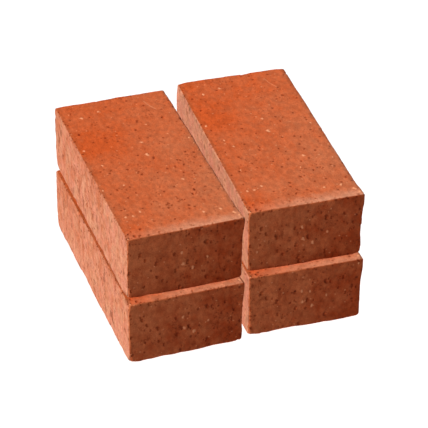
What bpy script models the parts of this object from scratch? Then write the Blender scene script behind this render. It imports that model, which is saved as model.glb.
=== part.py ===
"""Four loose solid bricks of fired red clay, stacked two by two with their header ends in line.

Each brick is a separate solid in an object of its own. Lengths are in metres and +Z is up. The
header ends face -Y, and the origin is on the ground under the middle of the whole stack.
"""

import math

import bpy
from mathutils import Vector

INCH = 0.0254

# One brick, of the common 8 by 3 3/4 by 2 1/4 inch size.
BRICK_WIDTH = 3.75 * INCH
BRICK_LENGTH = 8.0 * INCH
BRICK_HEIGHT = 2.25 * INCH

# Rounding that handling and firing leave on the edges.
UPRIGHT_EDGE_RADIUS = 0.0024
BED_EDGE_RADIUS = 0.0012
EDGE_SEGMENTS = 4

# How the loose bricks lie. Each upper brick is set back a little on the brick under it, and the
# right-hand stack stands apart from the left-hand one, slightly turned.
BED_GAP = 0.0003
STACK_SPACING = 0.1055
RIGHT_STACK_SET_BACK = 0.002
RIGHT_STACK_TURN = math.radians(-2.5)
UPPER_LEFT_SHIFT = (0.0020, 0.0065)
UPPER_LEFT_TURN = math.radians(-0.4)
UPPER_RIGHT_SHIFT = (0.0010, 0.0070)

# The fired clay: a matt orange-red that varies a little from brick to brick.
CLAY_COLOUR = (0.38, 0.085, 0.030)
CLAY_ROUGHNESS = 0.92
UPPER_TINT = 1.00
LOWER_TINT = 0.92

COLLECTION_NAME = "clay_brick_stack"


def clear_scene():
    """Remove every object that is in the scene."""
    for scene_object in list(bpy.data.objects):
        bpy.data.objects.remove(scene_object, do_unlink=True)


def new_collection(name):
    """Return a new collection, linked to the scene."""
    collection = bpy.data.collections.new(name)
    bpy.context.scene.collection.children.link(collection)
    return collection


def move_to_collection(scene_object, collection):
    """Leave the object in this collection only."""
    for holder in list(scene_object.users_collection):
        holder.objects.unlink(scene_object)
    collection.objects.link(scene_object)


def fired_clay(name, tint):
    """Return a matt clay material whose colour is the clay's times the tint."""
    material = bpy.data.materials.new(name)
    material.use_nodes = True
    shader = material.node_tree.nodes["Principled BSDF"]
    colour = [channel * tint for channel in CLAY_COLOUR]
    shader.inputs["Base Color"].default_value = (*colour, 1.0)
    shader.inputs["Roughness"].default_value = CLAY_ROUGHNESS
    shader.inputs["Metallic"].default_value = 0.0
    return material


def weigh_edges(mesh):
    """Give the upright edges the full bevel width, and the bed edges their share of it."""
    weights = mesh.attributes.new("bevel_weight_edge", "FLOAT", "EDGE")
    for edge in mesh.edges:
        start, end = (mesh.vertices[index].co for index in edge.vertices)
        is_upright = abs(start.z - end.z) > BRICK_HEIGHT / 2
        weights.data[edge.index].value = 1.0 if is_upright else BED_EDGE_RADIUS / UPRIGHT_EDGE_RADIUS


def round_edges(brick):
    """Round the brick's edges by their weights, smooth over the rounding and flat on the faces."""
    weigh_edges(brick.data)
    bevel = brick.modifiers.new("rounded_edges", "BEVEL")
    bevel.limit_method = "WEIGHT"
    bevel.width = UPRIGHT_EDGE_RADIUS
    bevel.segments = EDGE_SEGMENTS
    bevel.harden_normals = True
    brick.data.shade_smooth()


def make_brick(name, stack, shift, turn, base_height, tint, collection):
    """Make one solid brick, shifted and turned in its stack, with its underside at base_height."""
    bpy.ops.mesh.primitive_cube_add(size=1.0)
    brick = bpy.context.active_object
    brick.name = name
    brick.data.name = name
    brick.scale = (BRICK_WIDTH, BRICK_LENGTH, BRICK_HEIGHT)
    bpy.ops.object.transform_apply(location=False, rotation=False, scale=True)
    round_edges(brick)
    brick.data.materials.append(fired_clay(name + "_clay", tint))
    brick.parent = stack
    brick.location = (shift[0], shift[1], base_height + BRICK_HEIGHT / 2)
    brick.rotation_euler = (0.0, 0.0, turn)
    move_to_collection(brick, collection)
    return brick


def make_stack(name, place, turn, collection):
    """Make the empty that a stack of bricks stands round."""
    stack = bpy.data.objects.new(name, None)
    stack.location = place
    stack.rotation_euler = (0.0, 0.0, turn)
    collection.objects.link(stack)
    return stack


def make_bricks(collection):
    """Make both stacks, and return the stacks' empties and the four bricks."""
    left = make_stack("left_stack", (0.0, 0.0, 0.0), 0.0, collection)
    right_place = (STACK_SPACING, RIGHT_STACK_SET_BACK, 0.0)
    right = make_stack("right_stack", right_place, RIGHT_STACK_TURN, collection)
    upper = BRICK_HEIGHT + BED_GAP
    lays = (
        ("brick_lower_left", left, (0.0, 0.0), 0.0, 0.0, LOWER_TINT),
        ("brick_upper_left", left, UPPER_LEFT_SHIFT, UPPER_LEFT_TURN, upper, UPPER_TINT),
        ("brick_lower_right", right, (0.0, 0.0), 0.0, 0.0, LOWER_TINT),
        ("brick_upper_right", right, UPPER_RIGHT_SHIFT, 0.0, upper, UPPER_TINT),
    )
    bricks = [make_brick(*lay, collection) for lay in lays]
    return [left, right], bricks


def plan_middle(bricks):
    """Return the middle of the bricks' common box, at ground level."""
    graph = bpy.context.evaluated_depsgraph_get()
    graph.update()
    points = []
    for brick in bricks:
        rounded = brick.evaluated_get(graph)
        points += [rounded.matrix_world @ vertex.co for vertex in rounded.data.vertices]
    middle_x = (min(point.x for point in points) + max(point.x for point in points)) / 2
    middle_y = (min(point.y for point in points) + max(point.y for point in points)) / 2
    return Vector((middle_x, middle_y, 0.0))


def centre_on_origin(stacks, bricks):
    """Move both stacks together so that the origin is under the middle of the whole."""
    middle = plan_middle(bricks)
    for stack in stacks:
        stack.location -= middle
    bpy.context.view_layer.update()


def main():
    clear_scene()
    collection = new_collection(COLLECTION_NAME)
    stacks, bricks = make_bricks(collection)
    centre_on_origin(stacks, bricks)


main()
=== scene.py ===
"""Looks for a stack of four loose bricks of fired red clay.

Each CAD brick is replaced by a dense mesh: a box with worn arrises, a slightly uneven surface, open
pores, mineral grains and chipped edges. One procedural clay material, with its own seed for each
brick, colours them. All lengths are in metres unless a name ends in _MM or _mm.
"""

import math

import bmesh
import bpy
import numpy as np
from mathutils import Matrix, Vector


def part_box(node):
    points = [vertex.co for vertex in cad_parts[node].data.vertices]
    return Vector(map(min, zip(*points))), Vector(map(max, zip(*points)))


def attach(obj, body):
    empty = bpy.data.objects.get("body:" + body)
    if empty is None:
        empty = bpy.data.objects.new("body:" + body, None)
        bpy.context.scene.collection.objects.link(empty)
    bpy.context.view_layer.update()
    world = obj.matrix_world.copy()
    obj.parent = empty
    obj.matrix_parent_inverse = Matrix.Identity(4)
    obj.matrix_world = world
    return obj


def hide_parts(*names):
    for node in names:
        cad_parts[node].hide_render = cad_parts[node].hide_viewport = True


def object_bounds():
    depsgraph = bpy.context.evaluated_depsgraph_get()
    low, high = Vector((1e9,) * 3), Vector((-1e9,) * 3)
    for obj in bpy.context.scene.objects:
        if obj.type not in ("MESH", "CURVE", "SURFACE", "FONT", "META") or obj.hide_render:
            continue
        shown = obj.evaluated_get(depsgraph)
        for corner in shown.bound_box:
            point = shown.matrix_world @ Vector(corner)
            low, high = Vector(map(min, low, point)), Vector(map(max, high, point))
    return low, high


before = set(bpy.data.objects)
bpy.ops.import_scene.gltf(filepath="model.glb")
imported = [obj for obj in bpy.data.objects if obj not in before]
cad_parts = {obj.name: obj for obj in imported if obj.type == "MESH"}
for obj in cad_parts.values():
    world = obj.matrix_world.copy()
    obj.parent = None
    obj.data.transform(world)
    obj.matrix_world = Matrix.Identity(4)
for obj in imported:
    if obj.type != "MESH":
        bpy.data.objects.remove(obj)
CAD_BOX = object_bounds()

MM = 0.001

# ---------------------------------------------------------------------------------------------
# The bricks: the name of each one's body (its node is that name after "brick_"), its turn, its seed,
# how dark the rims of its beds are, how frosted their front edge is and how much paler than usual
# its stretchers are. The dark rims are grime, made stronger on the lower bricks as painted shade on
# the ledges that the upper bricks leave bare, and the lower bricks' frost is weaker for the same
# painted shade. The right bricks' paler stretchers are painted light, which makes up for the shade
# in the gap between the stacks.
# ---------------------------------------------------------------------------------------------

UPPER_LEFT_TURN = math.radians(-0.4)
RIGHT_STACK_TURN = math.radians(-2.5)
BRICKS = (
    ("lower_left", 0.0, 11, 0.7, 0.7, 0.0),
    ("upper_left", UPPER_LEFT_TURN, 23, 0.4, 1.0, 0.0),
    ("lower_right", RIGHT_STACK_TURN, 37, 0.7, 0.7, 0.60),
    ("upper_right", RIGHT_STACK_TURN, 53, 0.4, 1.0, 0.60),
)

# Half the width, length and height of one brick, from the node that isn't turned.
LOW_CORNER, HIGH_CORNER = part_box("brick_lower_left")
HALF = np.array(HIGH_CORNER - LOW_CORNER) / 2

# The grid that the brick's surface is cut into: its steps in a band along the arrises and between
# them, and how many more cuts there are round each pore and grain, out to a margin.
FINE_STEP = 0.42 * MM
FINE_BAND = 2.9 * MM
COARSE_STEP = 1.4 * MM
PORE_CUTS = 2
PORE_MARGIN = 0.7 * MM

# Worn arrises: the upright ones are rounder than those round the beds, and the corners more so,
# by the wear that is added to both radii near them. Along an arris the radius varies in long waves
# and weaker short ones, and stays between two limits, as shares of the usual radius.
UPRIGHT_RADIUS = 1.3 * MM
BED_RADIUS = 1.1 * MM
RADIUS_VARIATION = 0.20
RADIUS_LONG_WAVE = 38 * MM
RADIUS_SHORT_WAVE = 13 * MM
SHORT_WAVE_STRENGTH = 0.8
RADIUS_LIMITS = (0.65, 1.6)
CORNER_REACH = 10 * MM
LOW_CORNER_WEAR = 2.0 * MM
HIGH_CORNER_WEAR = 0.9 * MM

# What is added to a brick's seed for each set of waves, so that no two sets are alike.
RADIUS_LONG_SEED = 1
RADIUS_SHORT_SEED = 2
CHIP_LONG_SEED = 5
CHIP_SHORT_SEED = 6
FOOT_SEED = 7
UNEVENNESS_SEED = 10

# Height of the surface's unevenness, and the distance over which it comes and goes. The beds lie
# lower by the sink.
UNEVENNESS = ((0.14 * MM, 46 * MM), (0.07 * MM, 14 * MM), (0.035 * MM, 4.5 * MM))
BED_SINK = 0.25 * MM

# Open pores and mineral grains, by kind of face: (across, along, radius) in millimetres from the
# middle of the face. On a bed, along is +Y. On a header or stretcher, along is +Z.
BED_PORES_MM = (
    (33, 59, 1.2), (-40, 54, 0.9), (27, -7, 0.9), (24, -25, 0.9), (32, -29, 1.0), (21, -57, 1.0),
    (-3, -69, 1.0), (-21, -41, 0.8), (-3, -85, 0.9), (-40, -98, 1.3), (-33, -90, 1.1),
    (4, -19, 0.8), (-10, -13, 0.8), (-39, -61, 0.8), (-44, -94, 0.9), (-37, -100, 0.8),
    (-45, -99, 0.7), (-41, -91, 0.7),
)
BED_GRAINS_MM = (
    (-31, 78, 1.1), (-15, 84, 0.9), (-43, 30, 0.9), (5, 28, 0.9), (4, 9, 1.4), (-35, 5, 0.8),
    (20, -34, 1.1), (-39, -71, 0.9), (-33, -71, 0.8), (-26, -67, 0.9), (21, -83, 1.0),
    (35, -83, 1.0), (43, -91, 1.2), (45, -96, 0.9), (-46, -100, 0.6),
)
HEADER_PORES_MM = (
    (-37, 12, 1.5), (-33, 6, 1.3), (-24, 1, 1.5), (-9, 7, 1.3), (2, -3, 1.6), (-8, -9, 1.4),
    (17, 13, 1.8), (21, 12, 1.1), (32, 14, 1.2), (40, 4, 1.2), (17, -20, 1.6), (-5, -25, 1.5),
    (-19, -16, 1.1), (-23, -12, 1.1), (-46, -3, 1.2), (-45, -21, 1.1),
)
HEADER_GRAINS_MM = ((-3, 7, 1.0), (-2, -4, 1.0), (6, -9, 1.1), (18, -1, 0.8))
# A faint curved scratch on the beds: its ends and how far it bows, in millimetres.
SCRATCH_START_MM = (26, 88)
SCRATCH_END_MM = (32, 73)
SCRATCH_BOW_MM = 0.8
SCRATCH_RADIUS_MM = 0.5
SCRATCH_SPACING_MM = 0.9
SCRATCH_STRENGTH = 0.4
# Clusters of small pores: (across, along, spread) in millimetres.
BED_CLUSTERS_MM = ((9, -59, 6.0), (26, -52, 7.0))
HEADER_CLUSTERS_MM = ((39, -3, 4.0),)
STRETCHER_CLUSTERS_MM = ((14, -8, 9.0), (-30, 4, 9.0))
PORES_IN_CLUSTER = 7
CLUSTER_PORE_RADIUS_MM = (0.4, 0.8)
# Crumbled pores along the arrises: the distance between them, how far in from the arris they are
# and their size.
CRUMB_SPACING = 8 * MM
CRUMB_INSET = (0.2 * MM, 1.8 * MM)
CRUMB_RADIUS_MM = (0.35, 0.8)

# Smooth random values are a sum of this many waves, whose lengths are spread between two shares of
# the one asked for.
WAVE_COUNT = 36
WAVE_LENGTHS = (0.7, 1.6)

# Two places are level when they are no further apart than the first of these. Nothing is divided
# by a length below the second.
LEVEL = 1e-6
TINY = 1e-12


def smoothstep(values):
    """Ease values from 0 to 1, with both ends level."""
    values = np.clip(values, 0.0, 1.0)
    return values * values * (3.0 - 2.0 * values)


def waves(points, wavelength, seed):
    """Return smooth random values with a spread of about 1, varying over about a wavelength."""
    rng = np.random.default_rng(seed)
    directions = rng.normal(size=(3, WAVE_COUNT))
    directions /= np.linalg.norm(directions, axis=0)
    lengths = wavelength * rng.uniform(*WAVE_LENGTHS, WAVE_COUNT)
    phases = rng.uniform(0.0, 2.0 * math.pi, WAVE_COUNT)
    angles = points @ (directions * 2.0 * math.pi / lengths) + phases
    return np.cos(angles).sum(axis=1) / math.sqrt(WAVE_COUNT / 2)


# ---------------------------------------------------------------------------------------------
# The grid that every brick is made from
# ---------------------------------------------------------------------------------------------

def stations(half_length):
    """Return the grid's places along one axis: close together by the arrises, wider between."""
    band = np.arange(0.0, FINE_BAND, FINE_STEP)
    inner = half_length - FINE_BAND
    middle = np.linspace(-inner, inner, round(2 * inner / COARSE_STEP) + 1)
    return np.concatenate([band - half_length, middle, (half_length - band)[::-1]])


def parallel_edges(grid, axis):
    """Return the edges of a box grid that run along one axis."""
    found = []
    for edge in grid.edges:
        start, end = edge.verts
        if abs(start.co[axis] - end.co[axis]) > LEVEL:
            found.append(edge)
    return found


def make_grid_mesh():
    """Return a mesh of the brick's box, cut into the grid of stations along each axis."""
    grid = bmesh.new()
    bmesh.ops.create_cube(grid, size=2.0)
    wanted = [stations(half_length) for half_length in HALF]
    for axis in range(3):
        cuts = len(wanted[axis]) - 2
        bmesh.ops.subdivide_edges(
            grid, edges=parallel_edges(grid, axis), cuts=cuts, use_grid_fill=True
        )
    mesh = bpy.data.meshes.new("brick_grid")
    grid.to_mesh(mesh)
    grid.free()
    points = read_points(mesh)
    for axis in range(3):
        even = np.linspace(-1.0, 1.0, len(wanted[axis]))
        points[:, axis] = np.interp(points[:, axis], even, wanted[axis])
    write_points(mesh, points)
    return mesh


def read_points(mesh):
    """Return the mesh's vertices as an array of rows."""
    points = np.empty(len(mesh.vertices) * 3, np.float32)
    mesh.vertices.foreach_get("co", points)
    return points.reshape(-1, 3).astype(float)


def write_points(mesh, points):
    """Move the mesh's vertices to these rows."""
    mesh.vertices.foreach_set("co", points.astype(np.float32).ravel())
    mesh.update()


def read_normals(mesh):
    """Return the outward direction at each vertex, as an array of rows."""
    normals = np.empty(len(mesh.vertices) * 3, np.float32)
    mesh.vertex_normals.foreach_get("vector", normals)
    return normals.reshape(-1, 3).astype(float)


# ---------------------------------------------------------------------------------------------
# Pores and grains
# ---------------------------------------------------------------------------------------------

# Each face of the brick: the axis across it and the axis along it, the axis it looks down and its
# sign, and its kind. A kind has its landmarks, how many random pores and grains it gets, how far any
# of them may lean from being taller than wide (0 is upright, 1 is any way round), how much taller
# they are, a pore's depth per radius, and whether the face has the scratch.
X, Y, Z = 0, 1, 2
ACROSS, ALONG, KIND = 0, 1, 4
BED = {
    "pores": BED_PORES_MM,
    "grains": BED_GRAINS_MM,
    "clusters": BED_CLUSTERS_MM,
    "random_pores": 60,
    "random_grains": 8,
    "lean": 0.4,
    "oval": (0.08, 0.40),
    "pore_depth": 0.5,
    "scratched": True,
}
HEADER = {
    "pores": HEADER_PORES_MM,
    "grains": HEADER_GRAINS_MM,
    "clusters": HEADER_CLUSTERS_MM,
    "random_pores": 26,
    "random_grains": 4,
    "lean": 0.2,
    "oval": (0.22, 0.46),
    "pore_depth": 0.28,
    "scratched": False,
}
STRETCHER = {
    "pores": (),
    "grains": (),
    "clusters": STRETCHER_CLUSTERS_MM,
    "random_pores": 60,
    "random_grains": 6,
    "lean": 0.2,
    "oval": (0.08, 0.40),
    "pore_depth": 0.5,
    "scratched": False,
}
FACES = (
    (X, Y, Z, 1, BED),
    (X, Y, Z, -1, BED),
    (X, Z, Y, -1, HEADER),
    (X, Z, Y, 1, HEADER),
    (Y, Z, X, -1, STRETCHER),
    (Y, Z, X, 1, STRETCHER),
)
# Scattered pores and grains: their radii, the power that makes most of them small, and how far
# they stay from the arrises.
RANDOM_PORE_RADIUS = (0.45 * MM, 1.0 * MM)
RANDOM_GRAIN_RADIUS = (0.4 * MM, 0.8 * MM)
RANDOM_SMALLNESS = 2.5
RANDOM_INSET = 2.0 * MM
GRAIN_HEIGHT_PER_RADIUS = 0.16
# A spot's outline is an oval with three faint lobes. Its colour and its hollow fade out towards
# their rims, which are given in shares of its radius, as is the farthest that a spot can reach. A
# pore's colour is painted shade, and its rim lies beyond the hollow's, so it darkens the lit walls.
THREE_LOBES = 0.12
SPOT_REACH = 2.2
STAIN_RIM = 1.4
STAIN_SHARPNESS = 1.8
HOLLOW_RIM = 1.05
HOLLOW_SHARPNESS = 1.5


def spot(face, across, along, radius, rng, strength=1.0):
    """Return one pore or grain: its face, middle, radius, strength and the lobes of its outline."""
    lean = rng.uniform(-math.pi, math.pi) * face[KIND]["lean"]
    return {
        "face": face,
        "middle": np.array([across, along]),
        "radius": radius,
        "strength": strength,
        "lobes": (math.pi + lean, rng.uniform(0.0, 2.0 * math.pi)),
        "oval": rng.uniform(*face[KIND]["oval"]),
    }


def random_spots(face, count, radii, rng):
    """Scatter spots over a face, many small and few large."""
    across_axis, along_axis = face[ACROSS], face[ALONG]
    reach = np.array([HALF[across_axis], HALF[along_axis]]) - RANDOM_INSET
    spots = []
    for _ in range(count):
        across, along = rng.uniform(-reach, reach)
        radius = radii[0] + (radii[1] - radii[0]) * rng.uniform() ** RANDOM_SMALLNESS
        spots.append(spot(face, across, along, radius, rng))
    return spots


def arris_crumbs(face, rng):
    """Scatter small pores along the four arrises of a face."""
    reach = np.array([HALF[face[ACROSS]], HALF[face[ALONG]]])
    crumbs = []
    for running, facing in ((0, 1), (1, 0)):
        for side in (-1, 1):
            for _ in range(round(2 * reach[running] / CRUMB_SPACING)):
                place = np.empty(2)
                place[running] = rng.uniform(-reach[running], reach[running])
                place[facing] = side * (reach[facing] - rng.uniform(*CRUMB_INSET))
                crumbs.append(spot(face, *place, rng.uniform(*CRUMB_RADIUS_MM) * MM, rng))
    return crumbs


def face_pores(face, rng):
    """Return a face's pores: landmarks, clusters, crumbled arrises and a random scatter."""
    kind = face[KIND]
    pores = [spot(face, x * MM, y * MM, radius * MM, rng) for x, y, radius in kind["pores"]]
    for x, y, spread in kind["clusters"]:
        for _ in range(PORES_IN_CLUSTER):
            place = np.array([x, y]) + rng.normal(size=2) * spread / 2
            radius = rng.uniform(*CLUSTER_PORE_RADIUS_MM)
            pores.append(spot(face, place[0] * MM, place[1] * MM, radius * MM, rng))
    pores += arris_crumbs(face, rng)
    return pores + random_spots(face, kind["random_pores"], RANDOM_PORE_RADIUS, rng)


def scratch(face, rng):
    """Return a row of overlapping pale grains that makes a faint curved scratch."""
    start, end = np.array(SCRATCH_START_MM, float), np.array(SCRATCH_END_MM, float)
    length = np.linalg.norm(end - start)
    sideways = np.array([end[1] - start[1], start[0] - end[0]]) / length
    grains = []
    for share in np.linspace(0.0, 1.0, round(length / SCRATCH_SPACING_MM)):
        bow = SCRATCH_BOW_MM * math.sin(math.pi * share)
        place = (start + (end - start) * share + sideways * bow) * MM
        grains.append(spot(face, *place, SCRATCH_RADIUS_MM * MM, rng, SCRATCH_STRENGTH))
    return grains


def face_grains(face, rng):
    """Return a face's mineral grains: its landmarks and a random scatter."""
    kind = face[KIND]
    grains = [spot(face, x * MM, y * MM, radius * MM, rng) for x, y, radius in kind["grains"]]
    if kind["scratched"]:
        grains += scratch(face, rng)
    return grains + random_spots(face, kind["random_grains"], RANDOM_GRAIN_RADIUS, rng)


def spot_distance(points, one_spot, margin):
    """Return which points are near a spot, and their distance from it as a share of its radius."""
    across_axis, along_axis, normal_axis, sign, _ = one_spot["face"]
    offset = points[:, [across_axis, along_axis]] - one_spot["middle"]
    reach = SPOT_REACH * one_spot["radius"] + margin
    near = np.abs(offset).max(axis=1) < reach
    near &= points[:, normal_axis] * sign > HALF[normal_axis] - LEVEL
    index = np.flatnonzero(near)
    offset = offset[index]
    angle = np.arctan2(offset[:, 1], offset[:, 0])
    first_lobe, second_lobe = one_spot["lobes"]
    outline = 1.0 + one_spot["oval"] * np.cos(2 * angle + first_lobe)
    outline += THREE_LOBES * np.cos(3 * angle + second_lobe)
    return index, np.hypot(offset[:, 0], offset[:, 1]) / (one_spot["radius"] * outline)


def refine_round_spots(mesh, spots):
    """Cut the grid finer round each pore and grain, so that its rim is round."""
    centres = np.empty(len(mesh.polygons) * 3, np.float32)
    mesh.polygons.foreach_get("center", centres)
    centres = centres.reshape(-1, 3).astype(float)
    chosen = np.zeros(len(centres), bool)
    for one_spot in spots:
        index, distance = spot_distance(centres, one_spot, PORE_MARGIN)
        near = distance * one_spot["radius"] < one_spot["radius"] + PORE_MARGIN
        chosen[index[near]] = True
    grid = bmesh.new()
    grid.from_mesh(mesh)
    grid.faces.ensure_lookup_table()
    edges = {edge for number in np.flatnonzero(chosen) for edge in grid.faces[number].edges}
    edges = sorted(edges, key=lambda edge: edge.index)
    bmesh.ops.subdivide_edges(
        grid, edges=edges, cuts=PORE_CUTS, use_grid_fill=True, use_single_edge=True
    )
    grid.to_mesh(mesh)
    grid.free()


def spot_shapes(points, spots, height_per_radius):
    """Return at each point the share of a spot's colour, and how high or deep the spot is."""
    share = np.zeros(len(points))
    height = np.zeros(len(points))
    for one_spot in spots:
        index, distance = spot_distance(points, one_spot, 0.0)
        stain = smoothstep(STAIN_SHARPNESS * (STAIN_RIM - distance))
        hollow = smoothstep(HOLLOW_SHARPNESS * (HOLLOW_RIM - distance))
        share[index] = np.maximum(share[index], stain * one_spot["strength"])
        tallest = height_per_radius(one_spot["face"]) * one_spot["radius"] * one_spot["strength"]
        height[index] = np.maximum(height[index], hollow * tallest)
    return share, height


# ---------------------------------------------------------------------------------------------
# The shape of a brick
# ---------------------------------------------------------------------------------------------

def square_to_disc(first, second):
    """Scale that takes a point of a square's quarter onto the disc inside it."""
    length = np.hypot(first, second)
    larger = np.maximum(np.abs(first), np.abs(second))
    return np.where(length > 0.0, larger / np.maximum(length, TINY), 1.0)


def round_uprights(points, radius):
    """Round the four upright arrises.

    Return the points, the outward direction in plan, and how far each point is inside the outline,
    up to the radius there.
    """
    inner = HALF[:2] - radius[:, None]
    core = np.clip(points[:, :2], -inner, inner)
    outside = points[:, :2] - core
    scale = square_to_disc(outside[:, 0], outside[:, 1])
    rounded = points.copy()
    rounded[:, :2] = core + outside * scale[:, None]
    outward = rounded[:, :2] - core
    length = np.linalg.norm(outward, axis=1)
    inside = radius - length
    outward /= np.maximum(length, TINY)[:, None]
    return rounded, outward, inside


def round_beds(points, outward, inside, radius):
    """Round the arrises round both beds."""
    across = np.maximum(radius - inside, 0.0)
    upward = np.maximum(np.abs(points[:, 2]) - (HALF[2] - radius), 0.0)
    scale = square_to_disc(across, upward)
    rounded = points.copy()
    rounded[:, :2] += outward * ((scale - 1.0) * across)[:, None]
    rounded[:, 2] += np.sign(points[:, 2]) * (scale - 1.0) * upward
    return rounded


def arris_distance(points):
    """Return how far each point of the box's surface is from the nearest arris."""
    inward = HALF - np.abs(points)
    return np.sort(inward, axis=1)[:, 1]


def worn_radii(points, seed):
    """Return the radii of the uprights and of the arrises round the beds near each point."""
    corner_distance = (HALF - np.abs(points)).max(axis=1)
    corner = smoothstep(1.0 - corner_distance / CORNER_REACH)
    uneven = waves(points, RADIUS_LONG_WAVE, seed + RADIUS_LONG_SEED)
    short = waves(points, RADIUS_SHORT_WAVE, seed + RADIUS_SHORT_SEED)
    uneven = uneven + SHORT_WAVE_STRENGTH * short
    uneven = np.clip(1.0 + RADIUS_VARIATION * uneven, *RADIUS_LIMITS)
    wear = corner * np.where(points[:, 2] < 0.0, LOW_CORNER_WEAR, HIGH_CORNER_WEAR)
    return UPRIGHT_RADIUS * uneven + wear, BED_RADIUS * uneven + wear


# Chips lie where two sets of waves, the second weaker, add up to more than a threshold. A point
# counts as broken in full once this share of the greatest depth has gone.
CHIP_REACH = 3.2 * MM
CHIP_DEPTH = 0.7 * MM
CHIP_LONG_WAVE = 9 * MM
CHIP_SHORT_WAVE = 3.4 * MM
CHIP_SHORT_STRENGTH = 0.5
CHIP_THRESHOLD = 1.55
CHIP_FULLY_BROKEN = 0.35
# Long shallow hollows along the arrises of the brick's lower half, down to this many times their
# depth.
FOOT_REACH = 2.4 * MM
FOOT_DEPTH = 0.5 * MM
FOOT_DEEPEST = 1.5
FOOT_WAVELENGTH = 21 * MM


def chips(flat_points, seed):
    """Return how far each point is chipped away, in metres, along broken stretches of arris."""
    closeness = smoothstep(1.0 - arris_distance(flat_points) / CHIP_REACH)
    broken = waves(flat_points, CHIP_LONG_WAVE, seed + CHIP_LONG_SEED)
    short = waves(flat_points, CHIP_SHORT_WAVE, seed + CHIP_SHORT_SEED)
    broken = broken + CHIP_SHORT_STRENGTH * short
    return CHIP_DEPTH * closeness * np.clip(broken - CHIP_THRESHOLD, 0.0, 1.0)


def sagged_foot(flat_points, seed):
    """Return how far the lower half's arrises are rubbed away, in metres, in shallow hollows."""
    closeness = smoothstep(1.0 - arris_distance(flat_points) / FOOT_REACH)
    hollows = np.clip(waves(flat_points, FOOT_WAVELENGTH, seed + FOOT_SEED), 0.0, FOOT_DEEPEST)
    return FOOT_DEPTH * closeness * hollows * (flat_points[:, 2] < 0.0)


# The front right upright flares outwards above a share of the half height, and is dented, the most
# at its middle.
FLARE = 1.6 * MM
FLARE_START = 0.20
FLARE_STEEPNESS = 1.5
DENT = 0.5 * MM
FLARE_REACH = 18 * MM


def flare_corner(points):
    """Push the front right upright outwards near its top and in a little round its middle."""
    up = points[:, 2] / HALF[2]
    near = smoothstep(1.0 - np.hypot(points[:, 0] - HALF[0], points[:, 1] + HALF[1]) / FLARE_REACH)
    outwards = FLARE * smoothstep(FLARE_STEEPNESS * (up - FLARE_START)) - DENT * (1 - up * up)
    moved = points.copy()
    moved[:, 0] += near * outwards
    return moved


def unevenness(flat, seed):
    """Return how proud of the box each point stands. The beds stay inside it, clear of others."""
    proud = np.zeros(len(flat))
    for number, (height, wavelength) in enumerate(UNEVENNESS):
        proud += height * waves(flat, wavelength, seed + UNEVENNESS_SEED + number)
    bed = face_share(flat, Z)
    proud -= bed * BED_SINK
    return np.where(bed > 0.0, np.minimum(proud, 0.0), proud)


def shape_brick(mesh, pores, grains, seed):
    """Turn the flat grid into a worn brick, and note pores, grains and chips on its points."""
    flat = read_points(mesh)
    pore_share, pore_depth = spot_shapes(flat, pores, lambda face: face[KIND]["pore_depth"])
    grain_share, grain_height = spot_shapes(flat, grains, lambda face: GRAIN_HEIGHT_PER_RADIUS)
    chipped = chips(flat, seed)
    upright_radius, bed_radius = worn_radii(flat, seed)
    rounded, outward, inside = round_uprights(flat, upright_radius)
    rounded = round_beds(rounded, outward, inside, bed_radius)
    write_points(mesh, rounded)
    normals = read_normals(mesh)
    relief = unevenness(flat, seed) - chipped - sagged_foot(flat, seed)
    relief += grain_height - pore_depth
    underside = (face_share(flat, Z) > 0.0) & (flat[:, 2] < 0.0)
    relief = np.where(underside, np.minimum(relief, 0.0), relief)
    shaped = rounded + normals * relief[:, None]
    write_points(mesh, flare_corner(shaped))
    # The pores' share marks where the material paints shade into them.
    note(mesh, "pore", pore_share)
    note(mesh, "grain", grain_share)
    note(mesh, "chip", smoothstep(chipped / (CHIP_FULLY_BROKEN * CHIP_DEPTH)))
    note(mesh, "stretcher", face_share(flat, X))
    note(mesh, "header", face_share(flat, Y))
    note(mesh, "dust", dustiness(flat))


# Dustiness of the beds: in the middle, and its change per millimetre across and along.
DUST_IN_MIDDLE = 0.52
DUST_ACROSS = 0.0036
DUST_ALONG = -0.0020
# Soft patches on the beds: (across, along, radius) in millimetres and the change in dustiness.
BED_PATCHES_MM = (
    (-34, 40, 36, -0.40), (-42, -90, 26, -0.42), (30, 15, 34, 0.15), (40, -40, 38, 0.25),
)


def dustiness(flat):
    """Return how dusty the beds are at each point, from 0, deep orange, to 1, dusty pink."""
    dust = DUST_IN_MIDDLE + DUST_ACROSS * flat[:, 0] / MM + DUST_ALONG * flat[:, 1] / MM
    for across, along, radius, change in BED_PATCHES_MM:
        distance = np.hypot(flat[:, 0] / MM - across, flat[:, 1] / MM - along)
        dust += change * smoothstep(1.0 - distance / radius)
    return dust


FACE_FADE = 1.0 * MM


def face_share(flat, axis):
    """Return 1 on the two faces that look along an axis, fading just over their arrises."""
    inward = HALF[axis] - np.abs(flat[:, axis])
    return smoothstep(1.0 - inward / FACE_FADE)


def note(mesh, name, values):
    """Keep a value on each of the mesh's points, for the material to read."""
    attribute = mesh.attributes.new(name, "FLOAT", "POINT")
    attribute.data.foreach_set("value", values.astype(np.float32))


# ---------------------------------------------------------------------------------------------
# Fired clay
# ---------------------------------------------------------------------------------------------

DEEP_CLAY = (0.405, 0.063, 0.012)
DUSTY_CLAY = (0.380, 0.101, 0.039)
FROSTED_CLAY = (0.455, 0.175, 0.095)
SALMON_SKIN = (0.330, 0.138, 0.0763)
PINK_SKIN = (0.339, 0.123, 0.0734)
RUBBED_SKIN = (0.256, 0.0652, 0.0244)
HEADER_PALE = (0.366, 0.092, 0.033)
HEADER_DEEP = (0.245, 0.0355, 0.0078)
GRAIN_COLOUR = (0.630, 0.255, 0.125)
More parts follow.
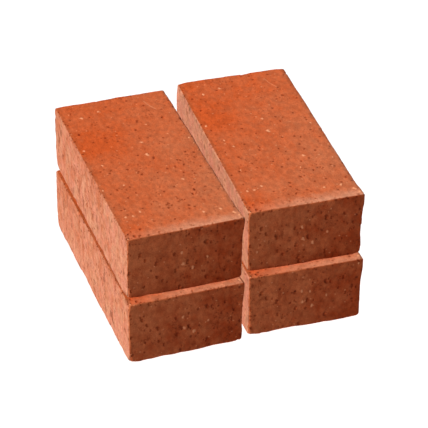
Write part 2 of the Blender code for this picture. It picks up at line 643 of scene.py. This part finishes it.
# Fractions of the clay's own colour that are left in pores, soot specks and shallow stains, on
# the rim of a bed and on broken arrises. In the pores this is painted shade, as the key lamp casts
# no shadow into them. On the rim of a bed it is grime, and painted shade on the ledges that the
# upper bricks leave bare.
BED_PORE_PAINTED_SHADE = (0.60, 0.42, 0.30)
SIDE_PORE_PAINTED_SHADE = (0.52, 0.36, 0.25)
SPECK_SHADE = (0.55, 0.42, 0.34)
STAIN_SHADE = (0.52, 0.43, 0.36)
SMEAR_SHADE = (0.68, 0.55, 0.46)
RIM_GRIME_AND_PAINTED_SHADE = (0.52, 0.80, 1.08)
BROKEN_SHADE = (0.86, 0.80, 0.74)

# The middle of a noise's range, over which tones and roughness are spread.
NOISE_MIDDLE = (0.3, 0.7)
TONES = (0.86, 1.14)
# A face's colour gives way to the next one's between these, on the values that fade over arrises.
STRETCHER_RIM = (0.35, 0.65)
HEADER_RIM = (0.25, 0.75)
# On the beds, from the middle: where the darkening by the long sides, grime and painted shade,
# starts and where it is full, where the frost by the front edge starts and where it is full, and
# from which place to which across the bed the frost grows from a share of its strength to all of it.
RIM_GRIME_AND_SHADE_BAND_MM = (43.0, 46.5)
FROST_BAND_MM = (-87.0, -101.0)
FROST_GROWTH_MM = (-50.0, 15.0)
LEAST_FROST = 0.25
# How deep the headers' colour is in the middle, and its change per millimetre across and up.
HEADER_DEPTH = 0.46
HEADER_DEPTH_ACROSS = 0.0090
HEADER_DEPTH_UP = -0.003
# How much pale skin the stretchers have in the middle, and its change per millimetre along and up.
SKIN = 0.66
SKIN_ALONG = -0.0010
SKIN_UP = -0.0060
# That skin goes from salmon to pink as a noise rises through this band.
HUE_BAND = (0.40, 0.60)
# Stains fade in as one noise rises through a band. Where another is low they are thinner, down to a
# share of their strength.
STAIN_BAND = (0.55, 0.65)
STAIN_CROWDING = (0.40, 0.60)
THINNEST_STAIN = 0.3
# Fine soot specks are larger where a noise is high. They are weaker than the coarse ones, whose
# strength is 1, and the pale specks are weaker still.
FINE_SPECK_CROWDING = (0.40, 0.65)
FINE_SPECK_RADII_MM = (0.40, 1.10)
FINE_SPECK_STRENGTH = 0.7
PALE_SPECK_STRENGTH = 0.4
# How clearly the mineral grains stand out on the beds and on the sides.
GRAIN_CLARITY_ON_BEDS = 0.85
GRAIN_CLARITY_ON_SIDES = 0.65
CLAY_ROUGHNESS = (0.82, 0.97)
CLAY_SPECULAR = 0.06
# The fine bump: its depth, its strength, what sand, dark specks and pale specks add to it, and how
# coarse it is on the beds and on the sides.
BUMP_DEPTH = 0.20 * MM
BUMP_STRENGTH = 0.6
SAND_HEIGHT = 0.6
SPECK_HEIGHT = -0.7
PALE_SPECK_HEIGHT = 0.4
BUMP_ON_BEDS = 0.65
BUMP_ON_SIDES = 1.15
# A brick's noises are moved along each axis by its seed times this.
SHIFT_PER_SEED_MM = (17.3, 29.1, 11.7)


class Graph:
    """Adds shader nodes to one material."""

    def __init__(self, material):
        self.nodes = material.node_tree.nodes
        self.links = material.node_tree.links

    def add(self, kind, inputs=None, **settings):
        """Add a node. An input is given as a value, or as the output of another node."""
        node = self.nodes.new(kind)
        for name, value in settings.items():
            setattr(node, name, value)
        for name, value in (inputs or {}).items():
            if isinstance(value, bpy.types.NodeSocket):
                self.links.new(value, node.inputs[name])
            else:
                node.inputs[name].default_value = value
        return node

    def math(self, operation, first, second=0.0, third=0.0):
        """Return the result of a Math node."""
        node = self.add("ShaderNodeMath", {0: first, 1: second, 2: third}, operation=operation)
        return node.outputs[0]

    def ease(self, value, low, high, bottom=0.0, top=1.0):
        """Return value eased from bottom to top as it goes from low to high."""
        inputs = {"Value": value, "From Min": low, "From Max": high, "To Min": bottom, "To Max": top}
        return self.add("ShaderNodeMapRange", inputs, interpolation_type="SMOOTHSTEP").outputs[0]

    def mix(self, factor, first, second, blend="MIX"):
        """Return two colours mixed."""
        node = self.add("ShaderNodeMix", data_type="RGBA", blend_type=blend)
        for name, value in (("Factor_Float", factor), ("A_Color", first), ("B_Color", second)):
            socket = next(one for one in node.inputs if one.identifier == name)
            if isinstance(value, bpy.types.NodeSocket):
                self.links.new(value, socket)
            elif name == "Factor_Float":
                socket.default_value = value
            else:
                socket.default_value = (*value, 1.0)
        return next(one for one in node.outputs if one.identifier == "Result_Color")

    def vary(self, value, noise, amount):
        """Return value, moved up or down by the noise times an amount."""
        return self.math("MULTIPLY_ADD", self.math("SUBTRACT", noise, 0.5), amount, value)

    def toned(self, colour, noise, darkest, lightest):
        """Return the colour made darker and lighter by the noise."""
        tone = self.ease(noise, *NOISE_MIDDLE, darkest, lightest)
        grey = self.add("ShaderNodeCombineColor", {0: tone, 1: tone, 2: tone}).outputs[0]
        return self.mix(1.0, colour, grey, "MULTIPLY")

    def stretch(self, place, factors):
        """Return a place scaled along each axis: noise on it is drawn out where a factor is low."""
        return self.add("ShaderNodeMapping", {"Vector": place, "Scale": factors}).outputs[0]

    def noted(self, name):
        """Return a value that was noted on the mesh's points."""
        return self.add("ShaderNodeAttribute", attribute_name=name).outputs["Fac"]

    def noise(self, place, size_mm, detail=2.0, rough=0.5):
        """Return noise from 0 to 1 whose features are about size_mm across."""
        inputs = {"Vector": place, "Scale": 1.0 / size_mm, "Detail": detail, "Roughness": rough}
        return self.add("ShaderNodeTexNoise", inputs).outputs[0]

    def jostle(self, place, size_mm, amount_mm):
        """Return a place moved about by noise, which makes round shapes ragged."""
        inputs = {"Vector": place, "Scale": 1.0 / size_mm, "Detail": 2.0}
        noise = self.add("ShaderNodeTexNoise", inputs).outputs["Color"]
        inputs = {0: noise, 1: (amount_mm,) * 3, 2: place}
        return self.add("ShaderNodeVectorMath", inputs, operation="MULTIPLY_ADD").outputs[0]

    def specks(self, place, spacing_mm, radius_mm):
        """Return round specks: 1 in their middles, 0 between them."""
        inputs = {"Vector": place, "Scale": 1.0 / spacing_mm}
        distance = self.add("ShaderNodeTexVoronoi", inputs).outputs["Distance"]
        rim = self.math("DIVIDE", radius_mm, spacing_mm)
        core = self.math("MULTIPLY", rim, 0.5)
        node = self.add("ShaderNodeMapRange", {"Value": distance}, interpolation_type="SMOOTHSTEP")
        self.links.new(rim, node.inputs["From Min"])
        self.links.new(core, node.inputs["From Max"])
        return node.outputs[0]


def places(graph, seed):
    """Return the place in millimetres, and the same shifted so that each brick differs."""
    object_place = graph.add("ShaderNodeTexCoord").outputs["Object"]
    scale = {"Vector": object_place, "Scale": (1 / MM, 1 / MM, 1 / MM)}
    in_mm = graph.add("ShaderNodeMapping", scale).outputs[0]
    location = tuple(seed * shift for shift in SHIFT_PER_SEED_MM)
    shifted = graph.add("ShaderNodeMapping", {"Vector": in_mm, "Location": location}).outputs[0]
    return in_mm, shifted


def bed_colour(graph, in_mm, shifted, rim_grime_and_shade, frost_less_in_shade):
    """Colour of the beds: deep orange at the back left, dustier and frosted towards the front, and
    darker along the long rims with grime and painted shade.
    """
    parts = graph.add("ShaderNodeSeparateXYZ", {0: in_mm}).outputs
    drawn = graph.stretch(shifted, (1.0, 0.62, 1.0))
    patches = graph.noise(shifted, size_mm=34.0, detail=3.0)
    dust = graph.vary(graph.noted("dust"), patches, amount=0.8)
    dust = graph.vary(dust, graph.noise(drawn, size_mm=6.0, detail=5.0, rough=0.65), amount=1.2)
    colour = graph.mix(dust, DEEP_CLAY, DUSTY_CLAY)
    # The long rims are darkened: grime, and painted shade on the ledges that the upper bricks leave
    # bare.
    outward = graph.math("ABSOLUTE", parts["X"])
    rim = graph.vary(outward, graph.noise(shifted, size_mm=5.0), amount=4.0)
    rim = graph.ease(rim, *RIM_GRIME_AND_SHADE_BAND_MM, 0.0, rim_grime_and_shade)
    colour = graph.mix(rim, colour, RIM_GRIME_AND_PAINTED_SHADE, "MULTIPLY")
    edge = graph.vary(parts["Y"], graph.noise(shifted, size_mm=9.0), amount=14.0)
    edge = graph.ease(edge, *FROST_BAND_MM)
    # The frost is weaker on the lower bricks, as painted shade on the front ledges below the upper
    # bricks.
    side = graph.ease(parts["X"], *FROST_GROWTH_MM, LEAST_FROST * frost_less_in_shade, frost_less_in_shade)
    return graph.mix(graph.math("MULTIPLY", edge, side), colour, FROSTED_CLAY)


def header_colour(graph, in_mm, shifted):
    """Colour of the headers: paler to the left and the top, redder to the lower right."""
    parts = graph.add("ShaderNodeSeparateXYZ", {0: in_mm}).outputs
    depth = graph.math("MULTIPLY_ADD", parts["X"], HEADER_DEPTH_ACROSS, HEADER_DEPTH)
    depth = graph.math("MULTIPLY_ADD", parts["Z"], HEADER_DEPTH_UP, depth)
    depth = graph.vary(depth, graph.noise(shifted, size_mm=15.0, detail=3.0), amount=1.8)
    upright = graph.stretch(shifted, (1.0, 1.0, 0.7))
    depth = graph.vary(depth, graph.noise(upright, size_mm=5.0, detail=5.0, rough=0.65), amount=1.5)
    colour = graph.mix(depth, HEADER_PALE, HEADER_DEEP)
    return stained(graph, colour, shifted, size_mm=4.0, shade=SMEAR_SHADE)


def stretcher_colour(graph, in_mm, shifted, gap_painted_light):
    """Colour of the stretchers: a salmon skin, paler low down in front, rubbed and stained. Painted
    light makes the skin paler still on the bricks whose stretcher lies in the gap between the
    stacks.
    """
    parts = graph.add("ShaderNodeSeparateXYZ", {0: in_mm}).outputs
    # Painted light: the skin is raised on the right bricks to make up for the shade in the gap
    # between the stacks.
    skin = graph.math("MULTIPLY_ADD", parts["Y"], SKIN_ALONG, SKIN + gap_painted_light)
    skin = graph.math("MULTIPLY_ADD", parts["Z"], SKIN_UP, skin)
    skin = graph.vary(skin, graph.noise(shifted, size_mm=24.0, detail=3.0), amount=1.3)
    upright = graph.stretch(shifted, (1.0, 1.0, 0.6))
    skin = graph.vary(skin, graph.noise(upright, size_mm=9.0, detail=6.0, rough=0.70), amount=3.0)
    hue = graph.noise(upright, size_mm=13.0, detail=5.0, rough=0.6)
    pale = graph.mix(graph.ease(hue, *HUE_BAND), SALMON_SKIN, PINK_SKIN)
    colour = graph.mix(skin, RUBBED_SKIN, pale)
    return stained(graph, colour, shifted, size_mm=6.0, shade=STAIN_SHADE)


def stained(graph, colour, shifted, size_mm, shade):
    """Return the colour with upright stains, thick in some places and thin in others."""
    marks = graph.stretch(shifted, (1.0, 1.0, 0.55))
    stain = graph.ease(graph.noise(marks, size_mm, detail=5.0, rough=0.6), *STAIN_BAND)
    crowding = graph.noise(shifted, size_mm=30.0, detail=1.0)
    where = graph.ease(crowding, *STAIN_CROWDING, THINNEST_STAIN, 1.0)
    return graph.mix(graph.math("MULTIPLY", stain, where), colour, shade, "MULTIPLY")


def speckled(graph, colour, shifted):
    """Add dark soot specks, in crowds, and faint pale ones. Return the colour and both masks."""
    ragged = graph.jostle(shifted, size_mm=1.6, amount_mm=1.8)
    crowd = graph.noise(shifted, size_mm=20.0, detail=2.0)
    fine_radius = graph.ease(crowd, *FINE_SPECK_CROWDING, *FINE_SPECK_RADII_MM)
    fine = graph.specks(ragged, spacing_mm=3.4, radius_mm=fine_radius)
    drawn = graph.stretch(ragged, (1.0, 0.9, 0.8))
    coarse = graph.specks(drawn, spacing_mm=8.3, radius_mm=1.4)
    dark = graph.math("MAXIMUM", graph.math("MULTIPLY", fine, FINE_SPECK_STRENGTH), coarse)
    colour = graph.mix(dark, colour, SPECK_SHADE, "MULTIPLY")
    pale = graph.specks(ragged, spacing_mm=6.7, radius_mm=0.9)
    faint = graph.math("MULTIPLY", pale, PALE_SPECK_STRENGTH)
    return graph.mix(faint, colour, GRAIN_COLOUR), dark, pale


def clay_colour(graph, in_mm, shifted, upright, rim_grime_and_shade, frost_less_in_shade, gap_painted_light):
    """Return the colour of a whole brick, and the masks of its dark and pale specks."""
    colour = bed_colour(graph, in_mm, shifted, rim_grime_and_shade, frost_less_in_shade)
    ragged = graph.noise(shifted, size_mm=2.5)
    rim = graph.ease(graph.vary(graph.noted("stretcher"), ragged, amount=0.8), *STRETCHER_RIM)
    colour = graph.mix(rim, colour, stretcher_colour(graph, in_mm, shifted, gap_painted_light))
    rim = graph.ease(graph.vary(graph.noted("header"), ragged, amount=0.8), *HEADER_RIM)
    colour = graph.mix(rim, colour, header_colour(graph, in_mm, shifted))
    drawn = graph.stretch(shifted, (1.0, 0.62, 0.8))
    colour = graph.toned(colour, graph.noise(drawn, size_mm=3.4, detail=3.0, rough=0.55), *TONES)
    colour = graph.toned(colour, graph.noise(shifted, size_mm=0.8, detail=3.0, rough=0.7), *TONES)
    colour = graph.mix(graph.noted("chip"), colour, BROKEN_SHADE, "MULTIPLY")
    colour, dark, pale = speckled(graph, colour, shifted)
    clarity = graph.ease(upright, 0.0, 1.0, GRAIN_CLARITY_ON_BEDS, GRAIN_CLARITY_ON_SIDES)
    colour = graph.mix(graph.math("MULTIPLY", graph.noted("grain"), clarity), colour, GRAIN_COLOUR)
    # Pores are darkened with painted shade, as the key lamp casts no shadow into their hollows.
    shade = graph.mix(upright, BED_PORE_PAINTED_SHADE, SIDE_PORE_PAINTED_SHADE)
    return graph.mix(graph.noted("pore"), colour, shade, "MULTIPLY"), dark, pale


def clay_bump(graph, shifted, upright, dark, pale):
    """Return the direction of the clay's fine surface: sandy, with the dark specks sunk in."""
    sand = graph.noise(shifted, size_mm=0.45, detail=2.0, rough=0.6)
    lumps = graph.noise(shifted, size_mm=1.3, detail=4.0, rough=0.65)
    height = graph.math("MULTIPLY_ADD", sand, SAND_HEIGHT, lumps)
    height = graph.math("MULTIPLY_ADD", dark, SPECK_HEIGHT, height)
    height = graph.math("MULTIPLY_ADD", pale, PALE_SPECK_HEIGHT, height)
    coarseness = graph.ease(upright, 0.0, 1.0, BUMP_ON_BEDS, BUMP_ON_SIDES)
    height = graph.math("MULTIPLY", height, coarseness)
    inputs = {"Height": height, "Strength": BUMP_STRENGTH, "Distance": BUMP_DEPTH}
    return graph.add("ShaderNodeBump", inputs).outputs[0]


def clay_material(name, seed, rim_grime_and_shade, frost_less_in_shade, gap_painted_light):
    """Return fired clay for one brick. Its beds get grime and painted shade on their rims and a
    frost by the front edge, weaker as painted shade on the lower bricks; its stretchers are made
    paler by painted light that makes up for the shade in the gap between the stacks.
    """
    material = bpy.data.materials.new(name)
    material.use_nodes = True
    graph = Graph(material)
    shader = graph.nodes["Principled BSDF"]
    in_mm, shifted = places(graph, seed)
    upright = graph.math("MAXIMUM", graph.noted("header"), graph.noted("stretcher"))
    colour, dark, pale = clay_colour(graph, in_mm, shifted, upright, rim_grime_and_shade, frost_less_in_shade, gap_painted_light)
    graph.links.new(colour, shader.inputs["Base Color"])
    uneven = graph.noise(shifted, size_mm=2.2, detail=2.0)
    rough = graph.ease(uneven, *NOISE_MIDDLE, *CLAY_ROUGHNESS)
    graph.links.new(rough, shader.inputs["Roughness"])
    shader.inputs["Specular IOR Level"].default_value = CLAY_SPECULAR
    bump = clay_bump(graph, shifted, upright, dark, pale)
    graph.links.new(bump, shader.inputs["Normal"])
    return material


# ---------------------------------------------------------------------------------------------
# The four bricks
# ---------------------------------------------------------------------------------------------

def make_brick(name, turn, seed, wear, grid_mesh):
    """Make one brick, put it where its CAD brick is and hide that one."""
    rng = np.random.default_rng(seed)
    pores = [pore for face in FACES for pore in face_pores(face, rng)]
    grains = [grain for face in FACES for grain in face_grains(face, rng)]
    mesh = grid_mesh.copy()
    mesh.name = "fired_brick_" + name
    refine_round_spots(mesh, pores + grains)
    shape_brick(mesh, pores, grains, seed)
    mesh.shade_smooth()
    mesh.materials.append(clay_material("fired_clay_" + name, seed, *wear))
    brick = bpy.data.objects.new("fired_brick_" + name, mesh)
    bpy.context.scene.collection.objects.link(brick)
    low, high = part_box("brick_" + name)
    brick.location = (low + high) / 2
    brick.rotation_euler = (0.0, 0.0, turn)
    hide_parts("brick_" + name)
    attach(brick, name)


def make_bricks():
    """Make the four bricks, all from one grid."""
    grid_mesh = make_grid_mesh()
    for name, turn, seed, *wear in BRICKS:
        make_brick(name, turn, seed, wear, grid_mesh)
    bpy.data.meshes.remove(grid_mesh)


# ---------------------------------------------------------------------------------------------
# Floor, light and camera
# ---------------------------------------------------------------------------------------------

# The floor is wide, and lies a little below the bricks.
FLOOR_SIZE = 60.0
FLOOR_DROP = 0.2 * MM
FLOOR_COLOUR = (0.75, 0.75, 0.75)
FLOOR_ROUGHNESS = 0.9
# The studio's walls are pale near the horizon and dim above it. They fade between two heights, as
# the sine of the angle looked up at.
WALL_BRIGHTNESS = 1.0
CEILING_BRIGHTNESS = 0.05
WALL_TOP = (0.08, 0.16)
LAMP_ANGLE = math.radians(12.0)
KEY_ENERGY = 7.1
KEY_DIRECTION = (-1.0, 0.09, 0.75)
FILL_ENERGY = 2.0
FILL_DIRECTION = (0.80, 0.55, 0.15)


def make_floor():
    """Make a plain pale floor under the bricks."""
    bpy.ops.mesh.primitive_plane_add(size=FLOOR_SIZE, location=(0.0, 0.0, -FLOOR_DROP))
    floor = bpy.context.active_object
    floor.name = "studio_floor"
    material = bpy.data.materials.new("studio_floor")
    material.use_nodes = True
    shader = material.node_tree.nodes["Principled BSDF"]
    shader.inputs["Base Color"].default_value = (*FLOOR_COLOUR, 1.0)
    shader.inputs["Roughness"].default_value = FLOOR_ROUGHNESS
    shader.inputs["Specular IOR Level"].default_value = 0.0
    floor.data.materials.append(material)


def make_sun(name, energy, direction, casts_shadow):
    """Add a soft lamp that shines from a direction."""
    data = bpy.data.lights.new(name, "SUN")
    data.energy = energy
    data.angle = LAMP_ANGLE
    data.use_shadow = casts_shadow
    lamp = bpy.data.objects.new(name, data)
    lamp.rotation_euler = Vector(direction).to_track_quat("Z", "Y").to_euler()
    bpy.context.scene.collection.objects.link(lamp)


def make_world():
    """Make the studio round the bricks, whose brightness depends on the height looked at."""
    world = bpy.data.worlds.new("studio")
    world.use_nodes = True
    nodes = world.node_tree.nodes
    links = world.node_tree.links
    direction = nodes.new("ShaderNodeTexCoord").outputs["Generated"]
    parts = nodes.new("ShaderNodeSeparateXYZ")
    links.new(direction, parts.inputs[0])
    fade = nodes.new("ShaderNodeMapRange")
    fade.inputs["From Min"].default_value = WALL_TOP[0]
    fade.inputs["From Max"].default_value = WALL_TOP[1]
    fade.inputs["To Min"].default_value = WALL_BRIGHTNESS
    fade.inputs["To Max"].default_value = CEILING_BRIGHTNESS
    links.new(parts.outputs["Z"], fade.inputs["Value"])
    links.new(fade.outputs[0], nodes["Background"].inputs["Color"])
    bpy.context.scene.world = world


def make_lights():
    """Light the stack from the left and above, which leaves the front headers in shade.

    The key casts no shadow, so that the ground stays white. The fill comes from low down behind the
    stack, and marks the joints between the bricks there.
    """
    make_sun("key", KEY_ENERGY, KEY_DIRECTION, False)
    make_sun("fill", FILL_ENERGY, FILL_DIRECTION, True)
    make_world()


# The camera: how far it stands round the stack from the header ends, how high, how it is rolled and
# how far off it is, its lens, its sensor, how far it sees, and what it aims at beside the middle.
CAMERA_AZIMUTH = math.radians(-19.6)
CAMERA_ELEVATION = math.radians(34.4)
CAMERA_ROLL = math.radians(0.51)
CAMERA_DISTANCE = 1.977
CAMERA_LENS_MM = 202.5
CAMERA_SENSOR_MM = 36.0
CAMERA_SIGHT = 100.0
AIM_OFFSET = Vector((0.0015, -0.0090, 0.0))


def make_camera():
    """Place the camera to the left of the headers and above them, looking at the middle."""
    data = bpy.data.cameras.new("camera")
    data.lens = CAMERA_LENS_MM
    data.sensor_width = CAMERA_SENSOR_MM
    data.clip_end = CAMERA_SIGHT
    camera = bpy.data.objects.new("camera", data)
    level = math.cos(CAMERA_ELEVATION)
    backward = Vector((
        math.sin(CAMERA_AZIMUTH) * level,
        -math.cos(CAMERA_AZIMUTH) * level,
        math.sin(CAMERA_ELEVATION),
    ))
    middle = Vector((CAD_BOX[0] + CAD_BOX[1]) / 2)
    place = middle + AIM_OFFSET + backward * CAMERA_DISTANCE
    turn = backward.to_track_quat("Z", "Y").to_matrix().to_4x4()
    camera.matrix_world = Matrix.Translation(place) @ turn @ Matrix.Rotation(CAMERA_ROLL, 4, "Z")
    bpy.context.scene.collection.objects.link(camera)
    bpy.context.scene.camera = camera


make_bricks()
make_floor()
make_lights()
make_camera()
bpy.context.scene.view_settings.view_transform = "Standard"
